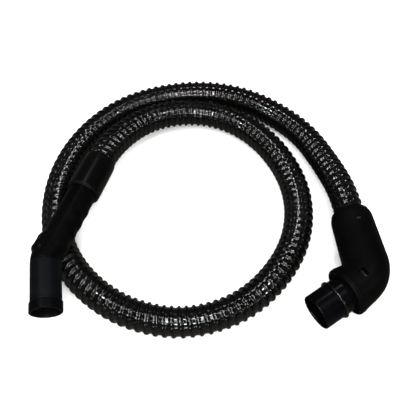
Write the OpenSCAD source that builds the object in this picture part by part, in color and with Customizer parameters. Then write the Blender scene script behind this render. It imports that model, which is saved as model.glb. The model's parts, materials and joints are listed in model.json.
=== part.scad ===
// Suction hose assembly: a coiled wire-ribbed hose with a bent hand tube that swivels in
// a soft cuff at one end, and a swivelling elbow with a turning spigot at the other.
// Millimetres, +Z up, floor at z = 0, origin under the middle of the rigid fittings.

/* [Hose] */
// Diameter at half the height of the ribs
hose_d = 37; // [36:0.5:37]
// Height of the ribs above that
rib_rise = 0.9; // [0.5:0.1:1.2]
// Sides of the hose tube
hose_sides = 12; // [8:4:12]
// Rings of the hose tube between two route points
rings_per_span = 2; // [1:1:2]

/* [Hand tube] */
// Outside diameter of the hand tube
tube_d = 36; // [35:0.5:36]
// Bore of the hand tube, which takes 32 mm tools
tube_bore_d = 32; // [30:0.5:32]
// From the bend to the front edge of the soft cuff
cuff_start = 104; // [102:1:107]
// Length of the soft cuff
cuff_len = 60; // [57:1:65]
// Wall of the soft cuff
cuff_wall = 1.4; // [1.4:0.1:2]
// Wall of the bush that screws onto the hose end inside the cuff
bush_wall = 1.8; // [1.8:0.1:2.2]
// From the bend to the tool mouth
tool_len = 67; // [64:1:71]
// Bend of the hand tube in degrees
hand_bend = 26.5; // [25:0.5:29]
// Length of the ring around the tool mouth
mouth_ring_len = 12; // [8:1:14]
// Height of the mouth ring above the tube
mouth_ring_rise = 1.3; // [1:0.1:2]

/* [Bleed valve] */
// Length of the raised frame around the bleed port
bleed_len = 18; // [17:0.5:18]
// Height of the frame above the tube
bleed_rise = 2.5; // [2.2:0.1:2.5]
// Angle that the frame covers around the tube
bleed_angle = 84; // [76:1:90]
// Length of the sliding cover
slide_len = 6; // [5:0.5:6]
// Diameter of the bleed port
port_d = 5.5; // [4:0.5:6]

/* [Elbow] */
// Outside diameter at the hose end
leg_d = 53; // [53:0.5:54]
// Outside diameter at the corner
corner_d = 56; // [55:0.5:56.5]
// Outside diameter where the outlet's collar sits
outlet_d = 61; // [60:0.5:62]
// From the corner to the hose end of the elbow
leg_len = 89; // [86:1:92]
// Bend of the elbow in degrees
elbow_bend = 64.5; // [60:0.5:66]
// Diameter of the air way through the corner
airway_d = 34; // [30:1:36]
// Running clearance of the turning parts, on the radius
run_gap = 0.07; // [0.05:0.01:0.09]

/* [Outlet and spigot] */
// From the corner to the face of the outlet collar
collar_face = 38.5; // [38:0.5:40]
// Outside diameter of the outlet collar
collar_d = 62; // [62:0.5:64]
// From the corner to the spigot's mouth
spigot_reach = 81.5; // [79:0.5:84]
// Outside diameter of the spigot
spigot_d = 44; // [43:0.5:44]
// Bore of the spigot
spigot_bore_d = 39.6; // [38.2:0.2:39.8]
// From the corner to the middle of the bead seal
bead_at = 53; // [51:0.5:56]
// Height of the bead seal above the spigot
bead_rise = 2.5; // [1.5:0.1:3]

/* [Hidden] */
$fn = 96;

lap_angle = 2;
lap_step = 0.05;

hose_r = hose_d / 2;
tube_r = tube_d / 2;
bore_r = tube_bore_d / 2;
bush_r = hose_r + bush_wall;
cuff_r = bush_r + cuff_wall;

// Hand end: places along the grip's axis, counted back from the bend
cuff_end = cuff_start + cuff_len;
retainer_at = cuff_start + 1.5;
flange_at = cuff_start + 9;
tube_end = cuff_start + 14.5;
gasket_at = cuff_start + 15;
hand_hose_end = cuff_start + 17;
bush_end = cuff_start + 49;
chamber_r = bush_r - 1;
flange_r = chamber_r - 0.4;
flange_len = 3.5;
split_angle = 0.6;

// Hand end: place and direction
hand_at = [-196.85, -44.67, 59.24];
hand_az = 253.5;
hand_tilt = 4.5;
hand_roll = 66;
bend_r = 22;
bend_run = bend_r * tan(hand_bend / 2);

// Bleed valve: the port faces up and outwards on the back of the bend
bleed_phi = 232;
bleed_at = -23.5;
bleed_r = tube_r + bleed_rise;
window_angle = 46;
window_wall = 2;
slide_gap = 0.4;
slide_end_gap = 0.3;
slide_angle = window_angle - 4;
port_at = -11;

// Elbow: radii and places along the hose leg, counted back from the corner
leg_r = leg_d / 2;
corner_r = corner_d / 2;
outlet_r = outlet_d / 2;
socket_r = 23.2;
socket_end = 46;
airway_r = airway_d / 2;
corner_bend_r = 28.5;
corner_run = corner_bend_r * tan(elbow_bend / 2);
elbow_bush_start = 87.5;
elbow_bush_end = 50;
elbow_hose_end = 55;
clip_at = 68;
clip_len = 3;

// Elbow: place and direction
elbow_at = [189, -55.3, 34.75];
elbow_az = 277.5;
elbow_roll = -83;

// Outlet: places along the outlet's axis from the corner
chamber_start = 8;
spigot_start = 9.2;
tail_len = 2.5;
washer_at = 12;
washer_len = 1.4;
sleeve_start = 13.5;
head_start = 30;
chamber_out_r = 24.5;
collar_r = collar_d / 2;
spigot_r = spigot_d / 2;
spigot_bore_r = spigot_bore_d / 2;
bead_half = 1.7;
window_z = [9, 17.8];
window_w = 11;
tab_z = [13.8, 17.2];
tab_w = 8.5;
tab_angles = [268, 28, 148];

// Free-lying part of the hose: where it is laid, and x, y and height above lying flat
coil_at = [0, 3.6];
lying_points = [
    [-100, 200, 13], [-30, 225, 4], [35, 210, 0], [85, 160, 0], [115.6, 90, 0],
    [115.8, 25, 0], [95.8, -30, 0], [55, -80, 0], [10, -105, 0], [-40, -115, 0],
    [-90, -105, 0], [-130, -85, 0], [-170, -50, 0], [-200, 0, 0], [-210, 60, 0],
    [-205, 120, 0], [-180, 180, 0], [-135, 230, 0], [-80, 255, 0], [-20, 265, 0],
    [40, 255, 0], [90, 225, 0], [135, 180, 0], [155, 130, 4]
];

// Direction of a line at an azimuth and a tilt above the floor
function direction(az, tilt) = [cos(az) * cos(tilt), sin(az) * cos(tilt), sin(tilt)];
function unit(v) = v / norm(v);

hand_axis = direction(hand_az, hand_tilt);
elbow_axis = direction(elbow_az, 0);

// The hose leaves both fittings straight, so its first and last points lie on their axes
route = concat(
    [for (t = [hand_hose_end, hand_hose_end + 37, hand_hose_end + 74]) hand_at - t * hand_axis],
    [for (p = lying_points) [p.x + coil_at.x, p.y + coil_at.y, p.z + hose_r + rib_rise]],
    [for (t = [elbow_hose_end + 80, elbow_hose_end + 40, elbow_hose_end]) elbow_at - t * elbow_axis]
);

// Smooth centre line: a uniform cubic curve drawn by the route points
last = len(route) - 1;
handles = concat([2 * route[0] - route[1]], route, [2 * route[last] - route[last - 1]]);
function curve(a, b, c, d, t) =
    (pow(1 - t, 3) * a + (3 * pow(t, 3) - 6 * t * t + 4) * b
    + (3 * (t + t * t - pow(t, 3)) + 1) * c + pow(t, 3) * d) / 6;
centre_line = concat(
    [for (i = [0 : last - 1], k = [0 : rings_per_span - 1])
        curve(handles[i], handles[i + 1], handles[i + 2], handles[i + 3], k / rings_per_span)],
    [route[last]]
);
ends = len(centre_line) - 1;
function heading(i) = unit(centre_line[min(i + 1, ends)] - centre_line[max(i - 1, 0)]);
function ring(i) =
    let (t = i == 0 ? hand_axis * -1 : i == ends ? elbow_axis : heading(i),
         side = unit(cross([0, 0, 1], t)), over = cross(t, side))
    [for (k = [0 : hose_sides - 1])
        centre_line[i] + hose_r * (cos(360 * k / hose_sides) * side + sin(360 * k / hose_sides) * over)];

// Points of an arc about a centre, for turned profiles
function arc(c, r, from, to, n = 8) =
    [for (i = [0 : n]) let (a = from + (to - from) * i / n) c + r * [cos(a), sin(a)]];

// ---- frames and shared shapes ----

// Local +Z runs along the grip towards the bend, +X points down
module at_hand() { translate(hand_at) rotate([0, 90 - hand_tilt, hand_az]) children(); }

// Local +Z runs along the tool end of the hand tube
module at_tool() { at_hand() rotate([0, 0, hand_roll]) rotate([0, hand_bend, 0]) children(); }

// Local +Z runs from the hose into the elbow, +X points down
module at_leg() { translate(elbow_at) rotate([0, 90, elbow_az]) children(); }

// Local +Z runs out of the elbow's outlet
module at_outlet() { at_leg() rotate([0, 0, elbow_roll]) rotate([0, elbow_bend, 0]) children(); }

// Cylinder between two places on Z
module rod(r, z0, z1) { translate([0, 0, z0]) cylinder(r = r, h = z1 - z0); }

// Tube between two places on Z
module pipe(r_out, r_in, z0, z1) {
    difference() {
        rod(r_out, z0, z1);
        rod(r_in, z0 - 1, z1 + 1);
    }
}

// Part of a ring around Z: from radius r0 to r1, centred on the angle phi
module ring_piece(r0, r1, z0, z1, phi, span) {
    translate([0, 0, z0]) rotate([0, 0, phi - span / 2])
        rotate_extrude(angle = span) translate([r0, 0]) square([r1 - r0, z1 - z0]);
}

// Curved stretch that starts on the local axis and bends towards +X. It is a hair slimmer than
// the straight stretches, and laps into the one before it, and into the one after it if asked.
module bend(r, bend_radius, angle, lap_after) {
    run = bend_radius * tan(angle / 2);
    sweep = angle + lap_angle + (lap_after ? lap_angle : 0);
    translate([bend_radius, 0, -run]) mirror([1, 0, 0]) rotate([90, 0, 0]) rotate([0, 0, -lap_angle])
        rotate_extrude(angle = sweep) translate([bend_radius, 0]) circle(r = r - lap_step);
}

// ---- hose and what is fixed to it ----

module hose() {
    points = [for (i = [0 : ends]) each ring(i)];
    n = hose_sides;
    walls = [for (i = [0 : ends - 1], k = [0 : n - 1])
        [i * n + k, i * n + (k + 1) % n, (i + 1) * n + (k + 1) % n, (i + 1) * n + k]];
    caps = [[for (k = [n - 1 : -1 : 0]) k], [for (k = [0 : n - 1]) ends * n + k]];
    color("#2a2a2c") polyhedron(points = points, faces = concat(walls, caps), convexity = 10);
}

module hand_cuff() {
    round = 1.4;
    profile = concat(
        [[tube_r + 0.5, -cuff_start], [tube_r + 0.5, -retainer_at], [bush_r, -retainer_at],
         [bush_r, -bush_end], [hose_r, -bush_end], [hose_r, -cuff_end]],
        arc([cuff_r - 3, -cuff_end + 3], 3, 270, 360),
        arc([cuff_r - round, -cuff_start - round], round, 0, 90)
    );
    color("#1d1d1e") at_hand() rotate_extrude() polygon(profile);
}

module hand_bush() {
    color("#3c3c3e") at_hand() difference() {
        rod(bush_r, -bush_end, -retainer_at);
        rod(hose_r, -bush_end - 1, -gasket_at);
        rod(chamber_r, -gasket_at, -retainer_at + 1);
    }
}

module hand_gasket() {
    color("#101010") at_hand() pipe(hose_r, bore_r, -hand_hose_end, -gasket_at);
}

// The tube's bend and flange are wider than the ring's bore, so the ring is two halves
module retainer_half(phi) {
    color("#55565a") at_hand() ring_piece(tube_r + run_gap, chamber_r,
        -flange_at + 0.5, -retainer_at, phi, 180 - split_angle);
}

module retainer_upper() { retainer_half(180); }

module retainer_lower() { retainer_half(0); }

module elbow_bush() {
    front = elbow_bush_start;
    profile = concat(
        [[airway_r, -elbow_bush_end], [airway_r, -elbow_hose_end],
         [hose_r, -elbow_hose_end], [hose_r, -front - 3.5]],
        arc([socket_r - run_gap - 4, -front], 4, 270, 360),
        [[socket_r - run_gap, -clip_at - 2.5], [21.6, -clip_at - 2.5], [21.6, -clip_at + 2.5],
         [socket_r - run_gap, -clip_at + 2.5], [socket_r - run_gap, -elbow_bush_end]]
    );
    color("#26262a") at_leg() rotate_extrude() polygon(profile);
}

module bush_seal() {
    color("#101010") at_leg()
        pipe(socket_r - run_gap, airway_r, -elbow_bush_end, -socket_end - 1);
}

// ---- hand tube ----

module grip_tube() {
    color("#222224") at_hand() difference() {
        union() {
            rod(tube_r, -tube_end, -bend_run);
            rod(flange_r, -flange_at - flange_len, -flange_at);
            rotate([0, 0, hand_roll]) bend(tube_r, bend_r, hand_bend, false);
        }
        rod(bore_r, -tube_end - 1, -bend_run);
        rotate([0, 0, hand_roll]) bend(bore_r, bend_r, hand_bend, true);
        rotate([0, 0, bleed_phi]) translate([bore_r - 4, 0, port_at]) rotate([0, 90, 0])
            cylinder(d = port_d, h = 12);
    }
}

module tool_tube() {
    color("#2b2c2f") at_tool() difference() {
        rod(tube_r, bend_run, tool_len);
        rod(bore_r, bend_run - 1, tool_len + 1);
        translate([0, 0, tool_len - mouth_ring_len - 4]) rotate_extrude()
            translate([tube_r - 0.5, 0]) square([1, 1]);
    }
}

module mouth_ring() {
    round = 1;
    r = tube_r + mouth_ring_rise;
    z0 = tool_len - mouth_ring_len;
    profile = concat(
        [[tube_r, tool_len], [tube_r, z0]],
        arc([r - round, z0 + round], round, 270, 360),
        arc([r - round, tool_len - round], round, 0, 90)
    );
    color("#202022") at_tool() rotate_extrude() polygon(profile);
}

module bleed_frame() {
    color("#262628") at_hand() difference() {
        ring_piece(tube_r, bleed_r, bleed_at, bleed_at + bleed_len, bleed_phi, bleed_angle);
        ring_piece(tube_r - 1, bleed_r + 1, bleed_at + window_wall,
            bleed_at + bleed_len - window_wall, bleed_phi, window_angle);
    }
}

module bleed_slide() {
    foot = tube_r + slide_gap;
    start = bleed_at + window_wall + slide_end_gap;
    nib = 1.2;
    color("#4a4b4f") at_hand() union() {
        ring_piece(foot, foot + 1.5, start, start + slide_len, bleed_phi, slide_angle);
        ring_piece(foot + 1, foot + 2.4, start + 2, start + 2 + nib, bleed_phi, slide_angle / 2);
    }
}

// ---- elbow ----

module elbow_shell() {
    shoulder = 6;
    leg = concat(
        [[0, -corner_run], [0, -leg_len], [socket_r + 0.4, -leg_len]],
        arc([leg_r - shoulder, -leg_len + shoulder], shoulder, 300, 360),
        [[corner_r, -corner_run]]
    );
    color("#1f1f21") difference() {
        union() {
            at_leg() rotate_extrude() polygon(leg);
            at_leg() rotate([0, 0, elbow_roll]) bend(corner_r, corner_bend_r, elbow_bend, true);
            at_outlet() translate([0, 0, corner_run])
                cylinder(r1 = corner_r, r2 = outlet_r, h = head_start - corner_run);
        }
        at_leg() {
            rod(socket_r, -leg_len - 1, -socket_end);
            rod(airway_r, -socket_end - 1, -corner_run);
            rotate([0, 0, elbow_roll]) bend(airway_r, corner_bend_r, elbow_bend, true);
            translate([0, 0, -clip_at]) rod(24.7, -2.5, 2.5);
            translate([-leg_r - 2, -3.5, -clip_at - 2.5]) cube([6, 7, 5]);
        }
        at_outlet() {
            rod(chamber_out_r, chamber_start, head_start + 1);
            for (a = tab_angles) rotate([0, 0, a])
                translate([chamber_out_r - 1, -window_w / 2, window_z[0]])
                    cube([8, window_w, window_z[1] - window_z[0]]);
        }
    }
}

module bush_clip() {
    half = clip_len / 2;
    color("#5a5b60") at_leg() translate([0, 0, -clip_at]) {
        difference() {
            pipe(24.6, 22, -half, half);
            translate([20, -4, -half - 1]) cube([6, 8, clip_len + 2]);
        }
        translate([-25.9, -2.6, -half]) cube([2.5, 5.2, clip_len]);
    }
}

module outlet_collar() {
    round = 3;
    bore = spigot_r + run_gap;
    profile = concat(
        [[bore, collar_face - 3], [bore, sleeve_start], [chamber_out_r - 0.05, sleeve_start],
         [chamber_out_r - 0.05, head_start], [outlet_r, head_start]],
        arc([collar_r - 1, head_start + 1], 1, 270, 360),
        arc([collar_r - round, collar_face - round], round, 0, 90),
        [[collar_r - 4.2, collar_face], [collar_r - 4.2, collar_face - 4],
         [bore + 1.8, collar_face - 4], [bore + 1.8, collar_face - 3]]
    );
    color("#242427") at_outlet() {
        rotate_extrude() polygon(profile);
        for (a = tab_angles) rotate([0, 0, a])
            translate([chamber_out_r - 1, -tab_w / 2, tab_z[0]])
                cube([2.8, tab_w, tab_z[1] - tab_z[0]]);
    }
}

module thrust_washer() {
    color("#d8d6ce") at_outlet()
        pipe(chamber_out_r - 0.3, spigot_r + 0.3, washer_at, washer_at + washer_len);
}

module face_seal() {
    color("#101010") at_outlet()
        pipe(chamber_out_r - 0.1, spigot_bore_r, chamber_start, chamber_start + 0.8);
}

// ---- spigot ----

module spigot() {
    color("#17171a") at_outlet() difference() {
        union() {
            rod(spigot_r, spigot_start, spigot_reach - 0.8);
            rod(spigot_r - 0.6, spigot_reach - 1, spigot_reach);
            rod(chamber_out_r - 0.4, spigot_start, spigot_start + tail_len);
        }
        rod(spigot_bore_r, spigot_start - 1, spigot_reach + 1);
        translate([0, 0, bead_at - bead_half]) rotate_extrude()
            translate([spigot_r - 0.6, 0]) square([1, 2 * bead_half]);
    }
}

module bead_seal() {
    r0 = spigot_r - 0.6;
    crown = spigot_r + bead_rise - bead_half;
    profile = concat(
        [[r0, bead_at + bead_half], [r0, bead_at - bead_half]],
        arc([crown, bead_at], bead_half, 270, 450)
    );
    color("#1b1b1e") at_outlet() rotate_extrude() polygon(profile);
}

hose();
hand_cuff();
hand_bush();
hand_gasket();
retainer_upper();
retainer_lower();
elbow_bush();
bush_seal();
grip_tube();
tool_tube();
mouth_ring();
bleed_frame();
bleed_slide();
elbow_shell();
bush_clip();
outlet_collar();
thrust_washer();
face_seal();
spigot();
bead_seal();
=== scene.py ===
"""Looks of the suction hose assembly: ribbed hose, hand tube, swivelling elbow and its spigot."""

import json
import logging
import math
from dataclasses import dataclass, replace
from enum import Enum
from typing import Callable, Optional, Sequence, Union

import bmesh
import bpy
from mathutils import Matrix, Vector

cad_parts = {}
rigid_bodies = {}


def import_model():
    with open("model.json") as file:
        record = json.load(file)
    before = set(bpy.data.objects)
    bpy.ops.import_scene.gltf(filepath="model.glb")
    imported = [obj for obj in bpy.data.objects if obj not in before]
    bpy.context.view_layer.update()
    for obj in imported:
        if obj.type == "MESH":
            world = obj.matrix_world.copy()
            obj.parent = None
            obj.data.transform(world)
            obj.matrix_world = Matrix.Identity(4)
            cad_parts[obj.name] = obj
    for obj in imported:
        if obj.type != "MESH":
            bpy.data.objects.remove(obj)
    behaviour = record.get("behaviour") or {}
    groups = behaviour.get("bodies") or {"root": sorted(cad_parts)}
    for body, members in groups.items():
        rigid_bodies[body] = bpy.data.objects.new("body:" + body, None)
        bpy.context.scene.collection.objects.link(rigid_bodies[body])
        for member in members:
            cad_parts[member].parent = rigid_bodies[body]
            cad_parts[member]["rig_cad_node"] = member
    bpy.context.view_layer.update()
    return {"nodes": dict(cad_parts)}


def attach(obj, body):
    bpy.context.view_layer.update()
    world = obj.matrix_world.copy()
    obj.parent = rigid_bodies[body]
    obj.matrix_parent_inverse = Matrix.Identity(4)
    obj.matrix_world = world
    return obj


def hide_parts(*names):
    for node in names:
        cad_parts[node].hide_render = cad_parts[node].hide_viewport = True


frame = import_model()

log = logging.getLogger("hose")

MM = 0.001
FULL_TURN = 2 * math.pi
SHARP_ANGLE = math.radians(32)
MERGE_MM = 0.002


class Body(str, Enum):
    """The moving bodies of the frame."""

    HOSE = "hose_body"
    HAND_TUBE = "hand_tube_body"
    BLEED = "bleed_body"
    ELBOW = "elbow_body"
    SPIGOT = "spigot_body"


class Slot(str, Enum):
    """The material slots of the record."""

    HOSE_PVC = "hose_pvc"
    SOFT_VINYL = "soft_vinyl"
    SEAL_RUBBER = "seal_rubber"
    TUBE_ABS = "tube_abs"
    TOOL_ABS = "tool_abs"
    ELBOW_ABS = "elbow_abs"
    SPIGOT_PP = "spigot_pp"
    NYLON = "nylon"
    ACETAL = "acetal"


# ---------------------------------------------------------------- materials


def to_linear(colour: str) -> tuple[float, float, float, float]:
    """Turns an sRGB hex colour into linear light.

    Args:
        colour: "#rrggbb".

    Returns:
        Red, green, blue and an alpha of 1.
    """
    channels = [int(colour[i : i + 2], 16) / 255 for i in (1, 3, 5)]
    linear = [c / 12.92 if c <= 0.04045 else ((c + 0.055) / 1.055) ** 2.4 for c in channels]
    return (*linear, 1.0)


def add_node(
    tree: bpy.types.NodeTree, kind: str, links: Optional[dict] = None, **settings: object
) -> bpy.types.Node:
    """Adds one node.

    Args:
        tree: the node tree to add to.
        kind: the node's type, such as "ShaderNodeBump".
        links: input name or number to a value, or to an output socket to link from.
        settings: the node's own properties.

    Returns:
        The node.
    """
    node = tree.nodes.new(kind)
    for key, value in settings.items():
        setattr(node, key, value)
    for key, value in (links or {}).items():
        socket = node.inputs[key]
        if isinstance(value, bpy.types.NodeSocket):
            tree.links.new(value, socket)
        else:
            socket.default_value = value
    return node


@dataclass(frozen=True)
class MouldedFinish:
    """A moulded plastic or rubber: two close tones, fine moulding texture and faint scuffs."""

    name: str
    slot: Slot
    dark: str
    light: str
    roughness: float
    roughness_spread: float
    ior: float
    specular: float
    grain_mm: float
    grain_depth_mm: float
    sheen: float = 0.0
    coat: float = 0.0
    coat_roughness: float = 0.1

    def build(self) -> bpy.types.Material:
        """Makes the material.

        Returns:
            The node-based material.
        """
        material = bpy.data.materials.new(self.name)
        material.use_nodes = True
        tree = material.node_tree
        tree.nodes.clear()
        place = add_node(tree, "ShaderNodeTexCoord").outputs["Object"]
        blotch = add_node(
            tree, "ShaderNodeTexNoise", {"Vector": place, "Scale": 1 / (35 * MM), "Detail": 3.0}
        )
        scuff = add_node(
            tree,
            "ShaderNodeTexNoise",
            {"Vector": place, "Scale": 1 / (6 * MM), "Detail": 5.0, "Roughness": 0.7},
        )
        grain = add_node(
            tree, "ShaderNodeTexNoise", {"Vector": place, "Scale": 1 / (self.grain_mm * MM), "Detail": 2.0}
        )
        tone = add_node(tree, "ShaderNodeMapRange", {0: blotch.outputs[0], 1: 0.35, 2: 0.65})
        colour = add_node(
            tree,
            "ShaderNodeMix",
            {0: tone.outputs[0], 6: to_linear(self.dark), 7: to_linear(self.light)},
            data_type="RGBA",
        )
        low, high = self.roughness - self.roughness_spread, self.roughness + self.roughness_spread
        rough = add_node(
            tree, "ShaderNodeMapRange", {0: scuff.outputs[0], 1: 0.3, 2: 0.7, 3: low, 4: high}
        )
        bump = add_node(
            tree,
            "ShaderNodeBump",
            {"Height": grain.outputs[0], "Distance": self.grain_depth_mm * MM, "Strength": 1.0},
        )
        shader = add_node(
            tree,
            "ShaderNodeBsdfPrincipled",
            {
                "Base Color": colour.outputs[2],
                "Roughness": rough.outputs[0],
                "IOR": self.ior,
                "Specular IOR Level": self.specular,
                "Sheen Weight": self.sheen,
                "Sheen Roughness": 0.4,
                "Coat Weight": self.coat,
                "Coat Roughness": self.coat_roughness,
                "Normal": bump.outputs[0],
            },
        )
        add_node(tree, "ShaderNodeOutputMaterial", {"Surface": shader.outputs[0]})
        return material


@dataclass(frozen=True)
class SmokedFilmFinish:
    """Smoky plasticised PVC film: glossy, nearly black beside the ribs, with a painted warm grey between them
    that stands in for lamp light showing through the thin film.
    """

    name: str = "smoked_pvc_film"
    slot: Slot = Slot.HOSE_PVC
    beside_wire: str = "#010101"
    # The lighter tone between the wires is painted light, for light showing through the thin film.
    between_wires_lit: str = "#070707"
    ior: float = 1.5
    specular: float = 0.5

    def build(self) -> bpy.types.Material:
        """Makes the material, which reads the film's own attribute that marks the panels between the ribs,
        where it paints the lighter tone of light showing through the film.

        Returns:
            The node-based material.
        """
        material = bpy.data.materials.new(self.name)
        material.use_nodes = True
        tree = material.node_tree
        tree.nodes.clear()
        place = add_node(tree, "ShaderNodeTexCoord").outputs["Object"]
        lit_panel = add_node(tree, "ShaderNodeAttribute", attribute_name="lit_panel")
        cloud = add_node(
            tree, "ShaderNodeTexNoise", {"Vector": place, "Scale": 1 / (14 * MM), "Detail": 4.0}
        )
        ripple = add_node(
            tree, "ShaderNodeTexNoise", {"Vector": place, "Scale": 1 / (3 * MM), "Detail": 2.0}
        )
        # Painted light: the lighter tone goes on the panels between the ribs, for light showing through the
        # thin film, and the cloud noise varies it at random.
        mixed = add_node(
            tree, "ShaderNodeMath", {0: lit_panel.outputs["Fac"], 1: cloud.outputs[0]}, operation="MULTIPLY"
        )
        spread = add_node(tree, "ShaderNodeMapRange", {0: mixed.outputs[0], 1: 0.05, 2: 0.6})
        colour = add_node(
            tree,
            "ShaderNodeMix",
            {0: spread.outputs[0], 6: to_linear(self.beside_wire), 7: to_linear(self.between_wires_lit)},
            data_type="RGBA",
        )
        rough = add_node(
            tree, "ShaderNodeMapRange", {0: cloud.outputs[0], 1: 0.3, 2: 0.7, 3: 0.07, 4: 0.12}
        )
        bump = add_node(
            tree, "ShaderNodeBump", {"Height": ripple.outputs[0], "Distance": 0.01 * MM, "Strength": 0.3}
        )
        shader = add_node(
            tree,
            "ShaderNodeBsdfPrincipled",
            {
                "Base Color": colour.outputs[2],
                "Roughness": rough.outputs[0],
                "IOR": self.ior,
                "Specular IOR Level": self.specular,
                "Normal": bump.outputs[0],
            },
        )
        add_node(tree, "ShaderNodeOutputMaterial", {"Surface": shader.outputs[0]})
        return material


Finish = Union[MouldedFinish, SmokedFilmFinish]

# Smoky plasticised PVC film between the turns of the wire: the only finish that reads an attribute, to paint
# light showing through the film between the ribs.
SMOKED_FILM = SmokedFilmFinish()
# PVC-dipped spring wire: the dip is smooth and wet-looking, so each turn carries small sharp glints.
WIRE_COAT = MouldedFinish(
    "pvc_dipped_spring_wire", Slot.HOSE_PVC, "#020202", "#050505", 0.12, 0.04, 1.5, 0.5, 2.5, 0.01
)
# Soft dip-moulded vinyl: dull black with a faint grey bloom where the surface turns away.
CUFF_VINYL = MouldedFinish(
    "soft_moulded_vinyl", Slot.SOFT_VINYL, "#020202", "#040404", 0.3, 0.05, 1.45, 0.16, 0.7, 0.01, sheen=0.003
)
# Injection-moulded ABS from a spark-eroded mould: even fine grain and a low satin gloss.
GRIP_ABS = MouldedFinish(
    "satin_abs_grip", Slot.TUBE_ABS, "#020202", "#040405", 0.38, 0.07, 1.4, 0.05, 0.8, 0.03, sheen=0.003
)
# The tool tube is a second moulding in a slightly greyer, bluer batch of the same plastic.
TOOL_ABS = MouldedFinish(
    "satin_abs_anthracite", Slot.TOOL_ABS, "#030405", "#050608", 0.44, 0.06, 1.45, 0.08, 0.8, 0.03,
    sheen=0.003,
)
# The elbow's mould has a coarser texture, so it is the dullest of the plastics.
ELBOW_ABS = MouldedFinish(
    "textured_abs_elbow", Slot.ELBOW_ABS, "#020202", "#040404", 0.46, 0.06, 1.4, 0.05, 0.9, 0.04, sheen=0.003
)
# Polypropylene from a polished mould: dark, slick, with tight highlights on its edges.
SPIGOT_PP = MouldedFinish(
    "polished_polypropylene", Slot.SPIGOT_PP, "#020203", "#040405", 0.22, 0.05, 1.4, 0.1, 2.0, 0.01
)
# Sealing rubber: flat black, a little greasy, so its crown catches one soft glint.
SEAL_RUBBER = MouldedFinish(
    "nitrile_rubber", Slot.SEAL_RUBBER, "#020202", "#050505", 0.24, 0.05, 1.5, 0.35, 1.2, 0.02
)
# Glass-filled nylon: dark grey, dry and slightly mottled by its fibres.
NYLON = MouldedFinish(
    "glass_filled_nylon", Slot.NYLON, "#0a0a0b", "#121214", 0.5, 0.08, 1.5, 0.2, 0.6, 0.03
)
# Graphite-filled acetal: waxy dark grey, self-lubricating.
ACETAL = MouldedFinish(
    "graphite_filled_acetal", Slot.ACETAL, "#101011", "#17171a", 0.32, 0.05, 1.48, 0.3, 1.5, 0.01
)


class Paintbox:
    """Builds each finish once and puts it on pieces."""

    def __init__(self) -> None:
        """Starts with no materials."""
        self._made: dict[str, bpy.types.Material] = {}

    def material(self, finish: Finish) -> bpy.types.Material:
        """Gives the material of a finish, making it the first time.

        Args:
            finish: the finish to look up.

        Returns:
            The one material that every piece of this finish shares.
        """
        if finish.name not in self._made:
            self._made[finish.name] = finish.build()
        return self._made[finish.name]

    def dress(self, piece: bpy.types.Object, finish: Finish) -> None:
        """Replaces all of a piece's materials with one finish.

        Args:
            piece: the mesh object.
            finish: the finish to use.
        """
        piece.data.materials.clear()
        piece.data.materials.append(self.material(finish))


# ---------------------------------------------------------------- shapes


@dataclass(frozen=True)
class Corner:
    """Two straight legs that meet in a smooth bend.

    Places are given as a distance along the legs, negative before the corner and positive after
    it, a radius and an angle around. The angle is 0 on the inside of the bend. Sizes are in mm.
    """

    at: tuple[float, float, float]
    azimuth: float
    tilt: float
    roll: float
    bend: float
    bend_radius: float

    @property
    def run(self) -> float:
        """Distance from the corner to where the bend starts."""
        return self.bend_radius * math.tan(math.radians(self.bend) / 2)

    def leg_frame(self) -> Matrix:
        """Frame of the first leg, whose Z runs towards the corner and whose X is inside the bend."""
        turn = Matrix.Rotation(math.radians(self.azimuth), 4, "Z")
        lean = Matrix.Rotation(math.radians(90 - self.tilt), 4, "Y")
        roll = Matrix.Rotation(math.radians(self.roll), 4, "Z")
        return Matrix.Translation(Vector(self.at)) @ turn @ lean @ roll

    def far_frame(self) -> Matrix:
        """Frame of the second leg, whose Z runs away from the corner."""
        return self.leg_frame() @ Matrix.Rotation(math.radians(self.bend), 4, "Y")

    def place(self, along: float, radius: float, around: float) -> Vector:
        """Gives a place near the legs.

        Args:
            along: distance along the legs in mm.
            radius: distance from the axis in mm.
            around: angle around the axis in radians.

        Returns:
            The point in the frame's metres.
        """
        ring = Vector((radius * math.cos(around), radius * math.sin(around), 0))
        if along >= self.run:
            return MM * (self.far_frame() @ (ring + Vector((0, 0, along))))
        if along <= -self.run:
            return MM * (self.leg_frame() @ (ring + Vector((0, 0, along))))
        angle = math.radians(self.bend) * (along + self.run) / (2 * self.run)
        centre = Vector(
            (self.bend_radius * (1 - math.cos(angle)), 0, self.bend_radius * math.sin(angle) - self.run)
        )
        return MM * (self.leg_frame() @ (centre + Matrix.Rotation(angle, 3, "Y") @ ring))

    def direction(self, far: bool) -> Vector:
        """Unit vector along the second leg, or along the first."""
        held = self.far_frame() if far else self.leg_frame()
        return held.to_3x3() @ Vector((0, 0, 1))


def mesh_object(name: str, points: Sequence[Vector], faces: Sequence[Sequence[int]]) -> bpy.types.Object:
    """Makes a closed mesh with faces pointing outwards, smooth but for its sharp edges.

    Args:
        name: the piece's name.
        points: corners in metres.
        faces: corner numbers of each face.

    Returns:
        The new object, at the origin.
    """
    mesh = bpy.data.meshes.new(name)
    mesh.from_pydata([tuple(p) for p in points], [], [tuple(f) for f in faces])
    tidy = bmesh.new()
    tidy.from_mesh(mesh)
    bmesh.ops.remove_doubles(tidy, verts=tidy.verts, dist=MERGE_MM * MM)
    bmesh.ops.recalc_face_normals(tidy, faces=tidy.faces)
    tidy.to_mesh(mesh)
    tidy.free()
    mesh.shade_smooth()
    mesh.set_sharp_from_angle(angle=SHARP_ANGLE)
    piece = bpy.data.objects.new(name, mesh)
    bpy.context.scene.collection.objects.link(piece)
    return piece


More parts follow.
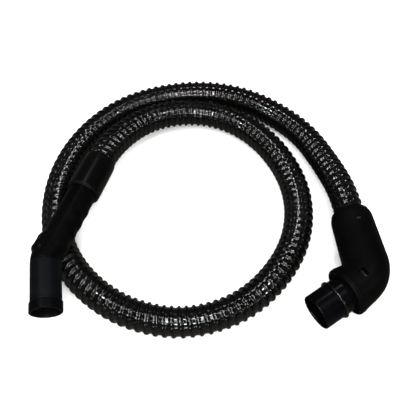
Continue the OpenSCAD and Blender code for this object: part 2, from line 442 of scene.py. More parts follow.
def rounded(corners: Sequence[tuple[float, float, float]], steps: int = 5) -> list[tuple[float, float]]:
    """Rounds the corners of a closed outline.

    Args:
        corners: (radius, along, rounding) of each corner in mm.
        steps: points in each rounding.

    Returns:
        (radius, along) points of the outline.
    """
    outline = []
    count = len(corners)
    for i, (radius, along, cut) in enumerate(corners):
        here = Vector((radius, along))
        if cut <= 0:
            outline.append(tuple(here))
            continue
        start = here + (Vector(corners[i - 1][:2]) - here).normalized() * cut
        end = here + (Vector(corners[(i + 1) % count][:2]) - here).normalized() * cut
        for k in range(steps + 1):
            t = k / steps
            outline.append(tuple((1 - t) ** 2 * start + 2 * t * (1 - t) * here + t * t * end))
    return outline


def turned(
    name: str,
    corner: Corner,
    outline: Sequence[tuple[float, float]],
    sides: int = 96,
    step: float = 2.0,
    relief: Optional[Callable[[float, float, float], float]] = None,
) -> bpy.types.Object:
    """Turns a closed outline around the legs of a corner, and bends it where they bend.

    Args:
        name: the piece's name.
        corner: the legs to follow.
        outline: (radius, along) points in mm.
        sides: faces around.
        step: longest stretch along between two rings, in mm.
        relief: gives the radius at (along, radius, around), where it isn't round.

    Returns:
        The new closed piece.
    """
    rings = []
    for i, (r0, a0) in enumerate(outline):
        r1, a1 = outline[(i + 1) % len(outline)]
        parts = max(1, math.ceil(abs(a1 - a0) / step))
        rings += [(r0 + (r1 - r0) * k / parts, a0 + (a1 - a0) * k / parts) for k in range(parts)]
    points = []
    for radius, along in rings:
        for k in range(sides):
            around = FULL_TURN * k / sides
            shaped = relief(along, radius, around) if relief else radius
            points.append(corner.place(along, shaped, around))
    count = len(rings)
    faces = []
    for i in range(count):
        here, beyond = i * sides, (i + 1) % count * sides
        for k in range(sides):
            beside = (k + 1) % sides
            faces.append((here + k, here + beside, beyond + beside, beyond + k))
    return mesh_object(name, points, faces)


def patch(
    name: str,
    corner: Corner,
    along: tuple[float, float],
    around: tuple[float, float],
    bottom: Callable[[float, float], float],
    top: Callable[[float, float], float],
    cells: tuple[int, int] = (24, 24),
) -> bpy.types.Object:
    """Makes a closed slab that lies on a tube.

    Args:
        name: the piece's name.
        corner: the legs that it lies along.
        along: where it starts and ends along the legs, in mm.
        around: where it starts and ends around them, in degrees.
        bottom: radius of its underside at shares (0 to 1) along and around.
        top: radius of its outside at the same shares.
        cells: faces along and around.

    Returns:
        The new closed piece.
    """
    rows, columns = cells
    points = []
    for surface in (bottom, top):
        for i in range(rows + 1):
            for k in range(columns + 1):
                u, v = i / rows, k / columns
                angle = math.radians(around[0] + (around[1] - around[0]) * v)
                points.append(corner.place(along[0] + (along[1] - along[0]) * u, surface(u, v), angle))
    sheet = (rows + 1) * (columns + 1)

    def number(level: int, i: int, k: int) -> int:
        """Number of the corner point at a row and column, on the underside (0) or the outside (1)."""
        return level * sheet + i * (columns + 1) + k

    faces = []
    for level in (0, 1):
        for i in range(rows):
            for k in range(columns):
                steps = ((i, k), (i + 1, k), (i + 1, k + 1), (i, k + 1))
                faces.append(tuple(number(level, *step) for step in steps))
    for i in range(rows):
        for k in (0, columns):
            faces.append((number(0, i, k), number(0, i + 1, k), number(1, i + 1, k), number(1, i, k)))
    for k in range(columns):
        for i in (0, rows):
            faces.append((number(0, i, k), number(0, i, k + 1), number(1, i, k + 1), number(1, i, k)))
    return mesh_object(name, points, faces)


def smooth_step(value: float) -> float:
    """Eases from 0 to 1 as value goes from 0 to 1."""
    t = min(max(value, 0.0), 1.0)
    return t * t * (3 - 2 * t)


def cut(piece: bpy.types.Object, tools: Sequence[bpy.types.Object]) -> None:
    """Cuts tools out of a piece and throws the tools away.

    Args:
        piece: the piece to cut.
        tools: closed meshes.
    """
    for tool in tools:
        boolean = piece.modifiers.new("cut", "BOOLEAN")
        boolean.operation = "DIFFERENCE"
        boolean.solver = "EXACT"
        boolean.object = tool
        bake_modifiers(piece)
        bpy.data.objects.remove(tool)
    piece.data.shade_smooth()
    piece.data.set_sharp_from_angle(angle=SHARP_ANGLE)


def bake_modifiers(piece: bpy.types.Object) -> None:
    """Turns a piece and its modifiers into a plain mesh.

    Args:
        piece: the piece, which keeps its name.
    """
    graph = bpy.context.evaluated_depsgraph_get()
    graph.update()
    made = bpy.data.meshes.new_from_object(piece.evaluated_get(graph))
    piece.modifiers.clear()
    piece.data = made


def turned_along(
    corner: Corner, along: float, around: float, radius: float, low: float, high: float, sides: int = 24
) -> bpy.types.Object:
    """Makes a closed rod that points out of a tube's wall, to cut a port with.

    Args:
        corner: the legs that the wall follows.
        along: where the rod stands along the legs, in mm.
        around: where it stands around them, in degrees.
        radius: the rod's own radius in mm.
        low: distance from the axis where it starts.
        high: distance from the axis where it ends.
        sides: faces around the rod.

    Returns:
        The closed rod.
    """
    angle = math.radians(around)
    foot, tip = corner.place(along, low, angle), corner.place(along, high, angle)
    out = (tip - foot).normalized()
    side = (corner.place(along + 1, low, angle) - foot).normalized()
    over = out.cross(side)
    turn = [FULL_TURN * k / sides for k in range(sides)]
    rim = [MM * radius * (math.cos(t) * side + math.sin(t) * over) for t in turn]
    points = [end + spoke for end in (foot, tip) for spoke in rim]
    faces = [(k, (k + 1) % sides, sides + (k + 1) % sides, sides + k) for k in range(sides)]
    faces += [tuple(range(sides)), tuple(range(sides, 2 * sides))]
    return mesh_object("port", points, faces)


def install(made: Sequence[tuple[bpy.types.Object, str, Body, MouldedFinish]], paints: Paintbox) -> None:
    """Puts finished pieces in place of CAD nodes.

    Args:
        made: (piece, node that it replaces, body that carries it, finish) of each.
        paints: the finishes.
    """
    for piece, node, body, finish in made:
        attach(piece, body.value)
        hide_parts(node)
        paints.dress(piece, finish)
        log.info("%s: %d faces, %s", node, len(piece.data.polygons), finish.name)


# ---------------------------------------------------------------- hose


@dataclass
class Hose:
    """Wire-ribbed hose: a smoky film between the turns of a PVC-dipped spring wire. Sizes in mm."""

    lying_radius: float = 19.4
    crest_radius: float = 19.35
    wire_radius: float = 1.7
    film_radius: float = 16.9
    film_lift: float = 2.2
    pitch: float = 9.9
    film_rings_per_turn: int = 14
    film_sides: int = 40
    wire_points_per_turn: int = 20
    wire_sides: int = 8
    hand_end: float = 121.0
    elbow_end: float = 55.0

    # Free-lying part: where it is laid, and x, y and height above lying flat
    COIL_AT = Vector((0, 3.6, 0))
    LYING = (
        (-100, 200, 13), (-30, 225, 4), (35, 210, 0), (85, 160, 0), (115.6, 90, 0),
        (115.8, 25, 0), (95.8, -30, 0), (55, -80, 0), (10, -105, 0), (-40, -115, 0),
        (-90, -105, 0), (-130, -85, 0), (-170, -50, 0), (-200, 0, 0), (-210, 60, 0),
        (-205, 120, 0), (-180, 180, 0), (-135, 230, 0), (-80, 255, 0), (-20, 265, 0),
        (40, 255, 0), (90, 225, 0), (135, 180, 0), (155, 130, 4),
    )

    def route(self, hand: Corner, elbow: Corner) -> list[Vector]:
        """Gives the hose's centre line.

        Args:
            hand: the hand tube's legs.
            elbow: the elbow's legs.

        Returns:
            Points in metres, about 2 mm apart.
        """
        start, end = hand.direction(far=False), elbow.direction(far=False)
        held = [Vector(hand.at) - start * (self.hand_end + t) for t in (0, 37, 74)]
        free = [Vector((x, y, z + self.lying_radius)) + self.COIL_AT for x, y, z in self.LYING]
        pushed = [Vector(elbow.at) - end * (self.elbow_end + t) for t in (80, 40, 0)]
        knots = held + free + pushed
        knots = [2 * knots[0] - knots[1], *knots, 2 * knots[-1] - knots[-2]]
        line = []
        for i in range(len(knots) - 3):
            a, b, c, d = knots[i : i + 4]
            parts = max(4, round((c - b).length / 2))
            for k in range(parts):
                t = k / parts
                weights = ((1 - t) ** 3, 3 * t**3 - 6 * t * t + 4, 3 * (t + t * t - t**3) + 1, t**3)
                line.append(MM * sum((w * p for w, p in zip(weights, (a, b, c, d))), Vector()) / 6)
        line.append(MM * knots[-2])
        return line

    def guide(self, line: Sequence[Vector], name: str) -> bpy.types.Object:
        """Makes a curve object along the centre line.

        Args:
            line: points in metres.
            name: the object's name.

        Returns:
            The curve object, at the origin.
        """
        curve = bpy.data.curves.new(name, "CURVE")
        curve.dimensions = "3D"
        spline = curve.splines.new("POLY")
        spline.points.add(len(line) - 1)
        for point, place in zip(spline.points, line):
            point.co = (*place, 1)
        piece = bpy.data.objects.new(name, curve)
        bpy.context.scene.collection.objects.link(piece)
        return piece

    def build(self, hand: Corner, elbow: Corner, paints: Paintbox) -> None:
        """Args:
            hand: the hand tube's legs.
            elbow: the elbow's legs.
            paints: the finishes.
        """
        line = self.route(hand, elbow)
        length = sum((b - a).length for a, b in zip(line, line[1:]))
        turns = length / (self.pitch * MM)
        film = HoseTree("hose_film_tree", wire=False).grow(
            self.guide(line, "hose_film"),
            paints.material(SMOKED_FILM),
            {
                "Points": round(turns * self.film_rings_per_turn),
                "Sides": self.film_sides,
                "Radius": self.film_radius * MM,
                "Lift": self.film_lift * MM,
                "Pitch": self.pitch * MM,
            },
        )
        wire = HoseTree("hose_wire_tree", wire=True).grow(
            self.guide(line, "hose_wire"),
            paints.material(WIRE_COAT),
            {
                "Points": round(turns * self.wire_points_per_turn),
                "Sides": self.wire_sides,
                "Radius": (self.crest_radius - self.wire_radius) * MM,
                "Wire radius": self.wire_radius * MM,
                "Pitch": self.pitch * MM,
            },
        )
        for piece in (film, wire):
            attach(piece, Body.HOSE.value)
        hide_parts("hose")
        log.info("hose: %.3f m, %.0f turns of wire", length, turns)


Feed = Union[bpy.types.NodeSocket, float]


class HoseTree:
    """Geometry Nodes that sweep the hose's film, or wind its wire, along a curve."""

    INPUTS = {
        "Geometry": "NodeSocketGeometry",
        "Points": "NodeSocketInt",
        "Sides": "NodeSocketInt",
        "Radius": "NodeSocketFloat",
        "Lift": "NodeSocketFloat",
        "Wire radius": "NodeSocketFloat",
        "Pitch": "NodeSocketFloat",
        "Material": "NodeSocketMaterial",
    }

    def __init__(self, name: str, wire: bool) -> None:
        """Builds the tree.

        Args:
            name: the tree's name.
            wire: True for the wire, False for the film.
        """
        self.tree = bpy.data.node_groups.new(name, "GeometryNodeTree")
        self.sockets: dict[str, str] = {}
        for label, kind in self.INPUTS.items():
            socket = self.tree.interface.new_socket(label, in_out="INPUT", socket_type=kind)
            self.sockets[label] = socket.identifier
        self.tree.interface.new_socket("Geometry", in_out="OUTPUT", socket_type="NodeSocketGeometry")
        given = add_node(self.tree, "NodeGroupInput").outputs
        shape = self._wire(given) if wire else self._film(given)
        real = add_node(self.tree, "GeometryNodeRealizeInstances", {0: shape})
        painted = add_node(
            self.tree, "GeometryNodeSetMaterial", {"Geometry": real.outputs[0], "Material": given["Material"]}
        )
        add_node(self.tree, "NodeGroupOutput", {0: painted.outputs[0]})

    def _math(self, operation: str, a: Feed, b: Feed = 0.0) -> bpy.types.NodeSocket:
        """Adds one sum and gives its output."""
        return add_node(self.tree, "ShaderNodeMath", {0: a, 1: b}, operation=operation).outputs[0]

    def _vector(self, operation: str, links: dict, output: str = "Vector") -> bpy.types.NodeSocket:
        """Adds one vector sum and gives its output."""
        return add_node(self.tree, "ShaderNodeVectorMath", links, operation=operation).outputs[output]

    def _keep(self, shape: bpy.types.NodeSocket, name: str, kind: str, value: Feed) -> bpy.types.NodeSocket:
        """Stores a value on every point.

        Args:
            shape: the geometry to store it on.
            name: the attribute's name.
            kind: the attribute's data type, such as "FLOAT".
            value: what to store.

        Returns:
            The geometry with the value stored.
        """
        stored = add_node(
            self.tree,
            "GeometryNodeStoreNamedAttribute",
            {"Geometry": shape, "Name": name, "Value": value},
            data_type=kind,
            domain="POINT",
        )
        return stored.outputs[0]

    def _read(self, name: str, kind: str) -> bpy.types.NodeSocket:
        """Reads a stored value."""
        stored = add_node(self.tree, "GeometryNodeInputNamedAttribute", {"Name": name}, data_type=kind)
        return stored.outputs[0]

    def _line(self, given: bpy.types.NodeOutputs) -> bpy.types.NodeSocket:
        """Spaces the curve's points evenly and turns its normals level.

        Args:
            given: the tree's inputs.

        Returns:
            The evenly spaced curve.
        """
        even = add_node(
            self.tree, "GeometryNodeResampleCurve", {"Curve": given["Geometry"], "Count": given["Points"]}
        )
        level = add_node(self.tree, "GeometryNodeSetCurveNormal", {"Curve": even.outputs[0]}, mode="Z_UP")
        return level.outputs[0]

    def _wire(self, given: bpy.types.NodeOutputs) -> bpy.types.NodeSocket:
        """Winds the wire's own line round the curve and gives it its thickness.

        Args:
            given: the tree's inputs.

        Returns:
            The wire as a mesh.
        """
        line = self._line(given)
        along = add_node(self.tree, "GeometryNodeSplineParameter").outputs["Length"]
        angle = self._math("MULTIPLY", self._math("DIVIDE", along, given["Pitch"]), FULL_TURN)
        normal = add_node(self.tree, "GeometryNodeInputNormal").outputs[0]
        tangent = add_node(self.tree, "GeometryNodeInputTangent").outputs[0]
        over = self._vector("CROSS_PRODUCT", {0: tangent, 1: normal})
        side = self._vector("SCALE", {0: normal, "Scale": self._math("COSINE", angle)})
        rise = self._vector("SCALE", {0: over, "Scale": self._math("SINE", angle)})
        out = self._vector("ADD", {0: side, 1: rise})
        offset = self._vector("SCALE", {0: out, "Scale": given["Radius"]})
        wound = add_node(self.tree, "GeometryNodeSetPosition", {"Geometry": line, "Offset": offset})
        ring = add_node(
            self.tree,
            "GeometryNodeCurvePrimitiveCircle",
            {"Resolution": given["Sides"], "Radius": given["Wire radius"]},
        )
        swept = add_node(
            self.tree,
            "GeometryNodeCurveToMesh",
            {"Curve": wound.outputs[0], "Profile Curve": ring.outputs[0], "Fill Caps": True},
        )
        smooth = add_node(self.tree, "GeometryNodeSetShadeSmooth", {"Geometry": swept.outputs[0]})
        return smooth.outputs[0]

    def _film(self, given: bpy.types.NodeOutputs) -> bpy.types.NodeSocket:
        """Sweeps the film and lifts it where it meets the wire.

        Args:
            given: the tree's inputs.

        Returns:
            The film as a mesh.
        """
        line = self._line(given)
        along = add_node(self.tree, "GeometryNodeSplineParameter").outputs["Length"]
        normal = add_node(self.tree, "GeometryNodeInputNormal").outputs[0]
        tangent = add_node(self.tree, "GeometryNodeInputTangent").outputs[0]
        place = add_node(self.tree, "GeometryNodeInputPosition").outputs[0]
        line = self._keep(line, "reach", "FLOAT", along)
        line = self._keep(line, "side", "FLOAT_VECTOR", normal)
        over = self._vector("CROSS_PRODUCT", {0: tangent, 1: normal})
        line = self._keep(line, "over", "FLOAT_VECTOR", over)
        line = self._keep(line, "middle", "FLOAT_VECTOR", place)
        ring = add_node(
            self.tree,
            "GeometryNodeCurvePrimitiveCircle",
            {"Resolution": given["Sides"], "Radius": given["Radius"]},
        )
        swept = add_node(
            self.tree,
            "GeometryNodeCurveToMesh",
            {"Curve": line, "Profile Curve": ring.outputs[0], "Fill Caps": True},
        ).outputs[0]
        spoke = self._vector("SUBTRACT", {0: place, 1: self._read("middle", "FLOAT_VECTOR")})
        out = self._vector("NORMALIZE", {0: spoke})
        across = self._vector("DOT_PRODUCT", {0: out, 1: self._read("side", "FLOAT_VECTOR")}, "Value")
        upward = self._vector("DOT_PRODUCT", {0: out, 1: self._read("over", "FLOAT_VECTOR")}, "Value")
        turn = self._math("DIVIDE", self._math("ARCTAN2", upward, across), FULL_TURN)
        turns_along = self._math("DIVIDE", self._read("reach", "FLOAT"), given["Pitch"])
        phase = self._math("SUBTRACT", turns_along, turn)
        wave = self._math("COSINE", self._math("MULTIPLY", phase, FULL_TURN))
        hump = add_node(
            self.tree, "ShaderNodeMapRange", {0: wave, 1: -0.25, 2: 0.8}, interpolation_type="SMOOTHSTEP"
        ).outputs[0]
        offset = self._vector("SCALE", {0: out, "Scale": self._math("MULTIPLY", hump, given["Lift"])})
        lifted = add_node(self.tree, "GeometryNodeSetPosition", {"Geometry": swept, "Offset": offset})
        # Marks the panels between the ribs, where the film's material paints the lighter tone of light
        # showing through the film.
        marked = self._keep(lifted.outputs[0], "lit_panel", "FLOAT", self._math("SUBTRACT", 1.0, hump))
        smooth = add_node(self.tree, "GeometryNodeSetShadeSmooth", {"Geometry": marked})
        return smooth.outputs[0]

    def grow(self, guide: bpy.types.Object, material: bpy.types.Material, sizes: dict) -> bpy.types.Object:
        """Runs the tree on a curve and keeps the result as a plain mesh.

        Args:
            guide: the curve object, which is used up.
            material: what the result is made of.
            sizes: input name to value.

        Returns:
            The mesh piece, with the curve's name.
        """
        modifier = guide.modifiers.new("grow", "NODES")
        modifier.node_group = self.tree
        modifier[self.sockets["Material"]] = material
        for name, value in sizes.items():
            modifier[self.sockets[name]] = value
        guide.update_tag()
        graph = bpy.context.evaluated_depsgraph_get()
        graph.update()
        mesh = bpy.data.meshes.new_from_object(guide.evaluated_get(graph))
        name = guide.name
        bpy.data.objects.remove(guide)
        mesh.name = name
        piece = bpy.data.objects.new(name, mesh)
        bpy.context.scene.collection.objects.link(piece)
        return piece


# ---------------------------------------------------------------- hand end


@dataclass
class HandEnd:
    """Soft cuff, finger-waved grip, tool tube and bleed housing. Sizes in mm, places from the bend."""

    corner: Corner
    tube_radius: float = 18.0
    bore_radius: float = 16.0
    cuff_start: float = 104.0
    cuff_len: float = 60.0
    cuff_radius: float = 21.5
    cuff_mouth: float = 1.5
    cuff_throat: float = 18.4
    bush_radius: float = 20.25
    bush_end: float = 49.0
    tube_end: float = 118.5
    flange_at: float = 113.0
    flange_len: float = 3.5
    flange_radius: float = 18.9
    tool_len: float = 67.0
    ring_len: float = 12.0
    ring_rise: float = 1.3
    mouth_grooves: tuple[float, float, float] = (9.0, 15.0, 21.0)
    wave_pitch: float = 19.5
    wave_crest: float = 20.0
    wave_rise: float = 1.1
    wave_around: float = 24.0
    wave_span: tuple[float, float] = (-92.0, -4.0)
    wave_fade: tuple[float, float] = (12.0, 8.0)
    port_at: float = -11.0
    port_radius: float = 2.75
    bleed_around: float = 166.0
    bleed_start: float = -33.0
    bleed_end: float = -2.0
    bleed_rise: float = 3.2
    bleed_half_angle: float = 42.0
    bleed_ramp: float = 14.0
    bleed_drop: float = 3.5
    window_start: float = -21.5
    window_end: float = -7.5
    window_angle: float = 46.0

    def build(self, paints: Paintbox) -> None:
        """Makes the pieces in place of the plain CAD ones.

        Args:
            paints: the finishes.
        """
        made = (
            (self._cuff(), "hand_cuff", Body.HOSE, CUFF_VINYL),
            (self._grip(), "grip_tube", Body.HAND_TUBE, GRIP_ABS),
            (self._tool_tube(), "tool_tube", Body.HAND_TUBE, TOOL_ABS),
            (self._mouth_ring(), "mouth_ring", Body.HAND_TUBE, GRIP_ABS),
            (self._bleed_housing(), "bleed_frame", Body.HAND_TUBE, GRIP_ABS),
        )
        install(made, paints)

    def _cuff(self) -> bpy.types.Object:
        """Makes the soft cuff, with a thin lip in front of its thicker sleeve."""
        front, end, r = -self.cuff_start, -self.cuff_start - self.cuff_len, self.cuff_radius
        lip = self.tube_radius + 0.5
        outline = rounded([
            (lip, front, 0), (r - 1.3, front, 0.8), (r - 1.2, front - 2.4, 0),
            (r + 0.1, front - 2.6, 0.9), (r + 0.1, front - 16, 0), (r - 0.1, end + 12, 0),
            (r - 0.7, end, 2.8), (self.cuff_throat, end, 0), (self.cuff_throat, front - self.bush_end, 0),
            (self.bush_radius, front - self.bush_end, 0), (self.bush_radius, front - self.cuff_mouth, 0),
            (lip, front - self.cuff_mouth, 0),
        ])
        return turned("vis_hand_cuff", self.corner, outline)

    def _wave(self, along: float, radius: float, around: float) -> float:
        """Adds the finger waves to the grip's outside.

        Args:
            along: distance along the legs in mm.
            radius: the plain tube's radius there.
            around: angle around the axis in radians.

        Returns:
            The radius with the waves, the same where the surface isn't the outside.
        """
        if radius < self.tube_radius - 0.3 or radius > self.tube_radius + 0.3:
            return radius
        off = math.remainder(around - math.radians(self.wave_around), FULL_TURN)
        lobe = max(0.0, math.cos(off)) ** 2
        first, last = self.wave_span
        fade_in, fade_out = self.wave_fade
        fade = smooth_step((along - first) / fade_in) * smooth_step((last - along) / fade_out)
        ripple = 0.5 + 0.5 * math.cos(FULL_TURN * (along + self.wave_crest) / self.wave_pitch)
        return radius + self.wave_rise * lobe * fade * ripple

    def _grip(self) -> bpy.types.Object:
        """Makes the grip, up to the end of its bend."""
        outer, inner, run = self.tube_radius, self.bore_radius, self.corner.run
        flange = -self.flange_at
        outline = rounded([
            (inner, -self.tube_end, 0), (outer, -self.tube_end, 0.4),
            (outer, flange - self.flange_len, 0), (self.flange_radius, flange - self.flange_len, 0),
            (self.flange_radius, flange, 0), (outer, flange, 0),
            (outer, run - 0.5, 0), (outer - 0.4, run, 0), (inner, run, 0),
        ])
        grip = turned("vis_grip_tube", self.corner, outline, step=1.5, relief=self._wave)
        port = turned_along(
            self.corner, self.port_at, self.bleed_around, self.port_radius, inner - 4, outer + 6
        )
        cut(grip, [port])
        return grip

    def _tool_tube(self) -> bpy.types.Object:
        """Makes the tool tube, with its shallow groove and the fine rings inside its mouth."""
        outer, inner, run, mouth = self.tube_radius, self.bore_radius, self.corner.run, self.tool_len
        groove = mouth - self.ring_len - 4
        rings = []
        for place in self.mouth_grooves:
            rings += [
                (inner, mouth - place + 0.9, 0), (inner + 0.35, mouth - place + 0.7, 0),
                (inner + 0.35, mouth - place, 0), (inner, mouth - place - 0.2, 0),
            ]
        outline = rounded([
            (inner, run + 0.02, 0), (outer - 0.3, run + 0.02, 0), (outer + 0.25, run + 0.9, 0.5),
            (outer + 0.1, groove, 0.2), (outer - 0.5, groove, 0), (outer - 0.5, groove + 1, 0),
            (outer + 0.1, groove + 1, 0.2), (outer, mouth - 0.4, 0), (inner + 1.6, mouth, 0.4),
            (inner + 0.5, mouth - 0.2, 0.4), (inner, mouth - 2.5, 0), *rings,
        ])
        return turned("vis_tool_tube", self.corner, outline)

    def _mouth_ring(self) -> bpy.types.Object:
        """Makes the ring around the tool mouth."""
        r, mouth = self.tube_radius + self.ring_rise, self.tool_len
        start = mouth - self.ring_len
        outline = rounded([
            (self.tube_radius + 0.1, start, 0), (r, start, 0.9), (r, mouth, 1.1),
            (self.tube_radius - 0.2, mouth + 0.05, 0), (self.tube_radius - 0.2, mouth - 0.6, 0),
            (self.tube_radius + 0.1, mouth - 1, 0),
        ])
        return turned("vis_mouth_ring", self.corner, outline)

    def _bleed_housing(self) -> bpy.types.Object:
        """Makes the ramped housing around the bleed port, with the window that its cover slides in."""
        half = self.bleed_half_angle
        low, length = self.tube_radius - 0.25, self.bleed_end - self.bleed_start

        def top(u: float, v: float) -> float:
            """Radius of the housing: a long ramp, a flat back and a short drop, with rounded flanks."""
            ramp = smooth_step(u * length / self.bleed_ramp) * smooth_step((1 - u) * length / self.bleed_drop)
            flank = smooth_step(v * 8) * smooth_step((1 - v) * 8)
            return self.tube_radius + 0.02 + self.bleed_rise * ramp * flank

        around = (self.bleed_around - half, self.bleed_around + half)
        span = (self.bleed_start, self.bleed_end)
        housing = patch("vis_bleed_frame", self.corner, span, around, lambda u, v: low, top, (40, 40))
        side = self.window_angle / 2
        window = patch(
            "window", self.corner, (self.window_start, self.window_end),
            (self.bleed_around - side, self.bleed_around + side),
            lambda u, v: low - 2, lambda u, v: self.tube_radius + 8, (10, 16),
        )
        cut(housing, [window])
        return housing


# ---------------------------------------------------------------- elbow end


@dataclass
class ElbowEnd:
    """Elbow, outlet collar, spigot and bead. Sizes in mm, places from the corner."""

    corner: Corner
    leg_len: float = 89.0
    leg_radius: float = 26.5
    corner_radius: float = 28.0
    outlet_radius: float = 30.5
    socket_radius: float = 23.2
    socket_end: float = 46.0
    airway_radius: float = 17.0
    chamber_radius: float = 24.55
    chamber_start: float = 8.0
    chamber_corner_radius: float = 25.8
    head_start: float = 30.0
    collar_radius: float = 31.0
    collar_face: float = 38.5
    spigot_radius: float = 22.0
    spigot_bore: float = 19.8
    spigot_start: float = 9.2
    flange_radius: float = 24.1
    flange_len: float = 2.5
    spigot_reach: float = 81.5
    sleeve_start: float = 13.5
    bead_at: float = 53.0
    bead_rise: float = 2.6
    bead_half: float = 1.7
    clip_at: float = 68.0
    clip_half: float = 2.5
    clip_width: float = 7.0
    tab_angles: tuple[float, float, float] = (268.0, 28.0, 148.0)
    window: tuple[float, float] = (9.0, 17.8)
    window_width: float = 11.0

    @property
    def outlet(self) -> Corner:
        """The elbow's legs without the smooth bend, for pieces that turn in the outlet."""
        return replace(self.corner, bend_radius=0.0)

    def build(self, paints: Paintbox) -> None:
        """Makes the pieces in place of the plain CAD ones.

        Args:
            paints: the finishes.
        """
        made = (
            (self._shell(), "elbow_shell", Body.ELBOW, ELBOW_ABS),
            (self._collar(), "outlet_collar", Body.ELBOW, ELBOW_ABS),
            (self._spigot(), "spigot", Body.SPIGOT, SPIGOT_PP),
            (self._bead(), "bead_seal", Body.SPIGOT, SEAL_RUBBER),
        )
        install(made, paints)

    def _block(
        self,
        name: str,
        corner: Corner,
        around: float,
        width: float,
        along: tuple[float, float],
        reach: tuple[float, float],
    ) -> bpy.types.Object:
        """Makes a closed block on the outlet or the leg, to cut a window with.

        Args:
            name: the block's name.
            corner: the legs that it lies along.
            around: angle of its middle in degrees.
            width: its width in mm at its middle radius.
            along: where it starts and ends along the legs.
            reach: its inner and outer radius.

        Returns:
            The closed block.
        """
        low, high = reach
        half = math.degrees(width / (low + high))
        sides = (around - half, around + half)
        return patch(name, corner, along, sides, lambda u, v: low, lambda u, v: high, (4, 6))

    def _shell(self) -> bpy.types.Object:
        """Makes the elbow, with the windows for the collar's tabs and the clip's tab."""
        run, end = self.corner.run, -self.leg_len
        outline = rounded([
            (self.socket_radius + 0.4, end, 0.5), (self.leg_radius - 2.6, end, 2.0),
            (self.leg_radius, end + 7, 3.0), (self.corner_radius, -run, 0),
            (self.corner_radius, run - 4, 3.0), (self.outlet_radius, self.head_start, 0),
            (self.chamber_radius, self.head_start, 0),
            (self.chamber_radius, run + 1, 0), (self.chamber_corner_radius, run - 1, 0),
            (self.chamber_corner_radius, self.chamber_start - 0.5, 0),
            (self.airway_radius, self.chamber_start - 0.5, 0), (self.airway_radius, -self.socket_end, 0),
            (self.socket_radius, -self.socket_end, 0), (self.socket_radius, end + 1, 0),
        ])
        shell = turned("vis_elbow_shell", self.corner, outline, step=2.0)
        tools = [
            self._block("window", self.outlet, angle, self.window_width, self.window, (23.0, 34.0))
            for angle in self.tab_angles
        ]
        clip = (-self.clip_at - self.clip_half, -self.clip_at + self.clip_half)
        up = 180 - self.corner.roll
        tools.append(self._block("clip_window", self.corner, up, self.clip_width, clip, (22.0, 30.0)))
        cut(shell, tools)
        return shell

    def _collar(self) -> bpy.types.Object:
        """Makes the outlet collar, whose face is recessed between its rim and its inner ring."""
        face, r, bore = self.collar_face, self.collar_radius, self.spigot_radius + 0.15
        outline = rounded([
            (bore, self.sleeve_start, 0), (self.chamber_radius - 0.1, self.sleeve_start, 0),
            (self.chamber_radius - 0.1, self.head_start + 0.1, 0), (r - 0.6, self.head_start + 0.1, 0),
            (r, self.head_start + 1.2, 0.8), (r, face, 3.0), (r - 4.6, face, 0.8), (r - 4.8, face - 3.5, 0),
            (bore + 2.2, face - 3.5, 0), (bore + 2.2, face - 1.2, 0.7), (bore, face - 1.2, 0.5),
        ])
        return turned("vis_outlet_collar", self.outlet, outline)

    def _spigot(self) -> bpy.types.Object:
        """Makes the spigot, with its retaining flange and its groove for the bead."""
        r, bore, reach, start = self.spigot_radius, self.spigot_bore, self.spigot_reach, self.spigot_start
        seat = (self.bead_at - self.bead_half, self.bead_at + self.bead_half)
        flange, shoulder = self.flange_radius, start + self.flange_len
        outline = rounded([
            (bore, start, 0), (flange, start, 0.3), (flange, shoulder, 0.3), (r, shoulder, 0),
            (r, seat[0], 0), (r - 0.6, seat[0], 0), (r - 0.6, seat[1], 0), (r, seat[1], 0),
            (r, reach, 1.2), (bore + 0.7, reach, 0.6), (bore, reach - 2, 0), (bore, reach - 26, 0),
            (bore - 0.6, reach - 27, 0), (bore - 0.6, reach - 29, 0), (bore, reach - 30, 0),
        ])
        return turned("vis_spigot", self.outlet, outline)

    def _bead(self) -> bpy.types.Object:
        """Makes the rubber bead around the spigot."""
        r, at, half = self.spigot_radius, self.bead_at, self.bead_half
        outline = rounded([
            (r - 0.6, at - half, 0), (r + 0.4, at - half, 0), (r + self.bead_rise, at - 1.5, 1.3),
            (r + self.bead_rise, at + 1.5, 1.3), (r + 0.4, at + half, 0), (r - 0.6, at + half, 0),
        ])
        return turned("vis_bead_seal", self.outlet, outline, step=0.5)


# ---------------------------------------------------------------- studio


@dataclass(frozen=True)
class Lamp:
    """A soft rectangular lamp that points at the object."""

    name: str
    azimuth: float
    elevation: float
    distance: float
    width: float
    height: float
    watts: float


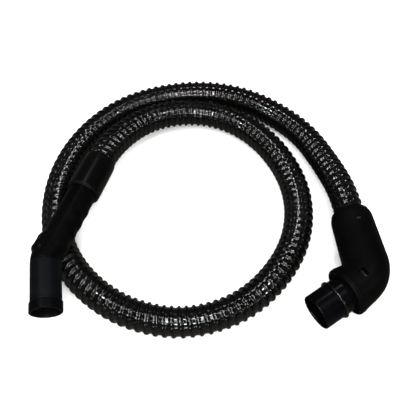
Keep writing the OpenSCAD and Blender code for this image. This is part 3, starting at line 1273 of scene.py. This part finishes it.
@dataclass
class Studio:
    """Camera, lamps and the pale floor. Sizes in metres."""

    aim: tuple[float, float, float] = (-0.003, 0.0512, 0.019)
    camera_at: tuple[float, float, float] = (-0.003, -0.3827, 0.6623)
    lens_mm: float = 50.06
    sensor_mm: float = 36.0
    floor_size: float = 12.0
    mirrored_floor: str = "#4e4b45"
    lamps: tuple[Lamp, ...] = (
        Lamp("key_left", -20, 62, 1.3, 0.05, 0.42, 4.5),
        Lamp("key_right", 20, 62, 1.3, 0.05, 0.42, 4.5),
        Lamp("key_top", 0, 80, 1.3, 0.42, 0.05, 5.5),
        Lamp("key_low", 0, 44, 1.3, 0.42, 0.05, 8.0),
        Lamp("left_high", -90, 62, 1.5, 0.1, 0.1, 4.0),
        Lamp("right_high", 90, 62, 1.5, 0.1, 0.1, 4.0),
        Lamp("left_low", -65, 28, 1.5, 0.12, 0.12, 2.5),
        Lamp("right_low", 65, 28, 1.5, 0.12, 0.12, 2.5),
        Lamp("back", 180, 56, 1.6, 0.12, 0.12, 1.5),
        Lamp("front_low", 0, 18, 1.6, 0.4, 0.08, 3.0),
    )

    def build(self) -> None:
        """Makes the camera, the lamps, the floor and the dim room around them."""
        self._camera()
        for lamp in self.lamps:
            self._lamp(lamp)
        self._floor()
        self._room()

    def _camera(self) -> None:
        """Makes the camera."""
        data = bpy.data.cameras.new("camera")
        data.lens = self.lens_mm
        data.sensor_width = self.sensor_mm
        camera = bpy.data.objects.new("camera", data)
        camera.location = self.camera_at
        look = Vector(self.aim) - Vector(self.camera_at)
        camera.rotation_euler = look.to_track_quat("-Z", "Y").to_euler()
        bpy.context.scene.collection.objects.link(camera)
        bpy.context.scene.camera = camera

    def _lamp(self, lamp: Lamp) -> None:
        """Makes one area lamp.

        Args:
            lamp: where it stands around the aim, its size and its power.
        """
        data = bpy.data.lights.new(lamp.name, "AREA")
        data.shape = "RECTANGLE"
        data.size = lamp.width
        data.size_y = lamp.height
        data.energy = lamp.watts
        made = bpy.data.objects.new(lamp.name, data)
        azimuth, elevation = math.radians(lamp.azimuth), math.radians(lamp.elevation)
        level = math.cos(elevation)
        back = Vector((math.sin(azimuth) * level, -math.cos(azimuth) * level, math.sin(elevation)))
        made.location = Vector(self.aim) + back * lamp.distance
        made.rotation_euler = (-back).to_track_quat("-Z", "Y").to_euler()
        bpy.context.scene.collection.objects.link(made)

    def _floor(self) -> None:
        """Makes the pale floor, which isn't part of the object and shows dimmer in reflections."""
        half = self.floor_size / 2
        mesh = bpy.data.meshes.new("floor")
        corners = [(-half, -half, 0), (half, -half, 0), (half, half, 0), (-half, half, 0)]
        mesh.from_pydata(corners, [], [(0, 1, 2, 3)])
        floor = bpy.data.objects.new("floor", mesh)
        bpy.context.scene.collection.objects.link(floor)
        material = bpy.data.materials.new("pale_paper")
        material.use_nodes = True
        tree = material.node_tree
        shader = tree.nodes["Principled BSDF"]
        mirrored = add_node(tree, "ShaderNodeLightPath").outputs["Is Glossy Ray"]
        tone = add_node(
            tree,
            "ShaderNodeMix",
            {0: mirrored, 6: to_linear("#f7f7f6"), 7: to_linear(self.mirrored_floor)},
            data_type="RGBA",
        )
        tree.links.new(tone.outputs[2], shader.inputs["Base Color"])
        shader.inputs["Roughness"].default_value = 0.9
        shader.inputs["Specular IOR Level"].default_value = 0.1
        mesh.materials.append(material)

    def _room(self) -> None:
        """Makes the room pale where it is seen, and dim where it is only reflected."""
        world = bpy.data.worlds.new("room")
        world.use_nodes = True
        tree = world.node_tree
        tree.nodes.clear()
        mirrored = add_node(tree, "ShaderNodeLightPath").outputs["Is Glossy Ray"]
        bright = add_node(tree, "ShaderNodeMapRange", {0: mirrored, 3: 0.9, 4: 0.05})
        sky = add_node(
            tree, "ShaderNodeBackground", {"Color": to_linear("#ffffff"), "Strength": bright.outputs[0]}
        )
        add_node(tree, "ShaderNodeOutputWorld", {"Surface": sky.outputs[0]})
        bpy.context.scene.world = world
        bpy.context.scene.view_settings.view_transform = "Standard"


HAND = Corner(at=(-196.85, -44.67, 59.24), azimuth=253.5, tilt=4.5, roll=66, bend=26.5, bend_radius=22)
ELBOW = Corner(at=(189, -55.3, 34.75), azimuth=277.5, tilt=0, roll=-83, bend=64.5, bend_radius=28.5)
# Nodes that keep their CAD shape
PLAIN_NODES = {
    "hand_bush": NYLON, "hand_gasket": SEAL_RUBBER, "retainer_upper": NYLON, "retainer_lower": NYLON,
    "elbow_bush": GRIP_ABS, "bush_seal": SEAL_RUBBER, "bleed_slide": NYLON, "bush_clip": NYLON,
    "thrust_washer": ACETAL, "face_seal": SEAL_RUBBER,
}


def main() -> None:
    """Builds the studio and each sub-assembly in order."""
    logging.basicConfig(level=logging.INFO, format="%(name)s %(message)s")
    paints = Paintbox()
    Studio().build()
    Hose().build(HAND, ELBOW, paints)
    HandEnd(HAND).build(paints)
    ElbowEnd(ELBOW).build(paints)
    for name, finish in PLAIN_NODES.items():
        paints.dress(frame["nodes"][name], finish)
        log.info("%s: %s", name, finish.name)


if __name__ == "__main__":
    main()
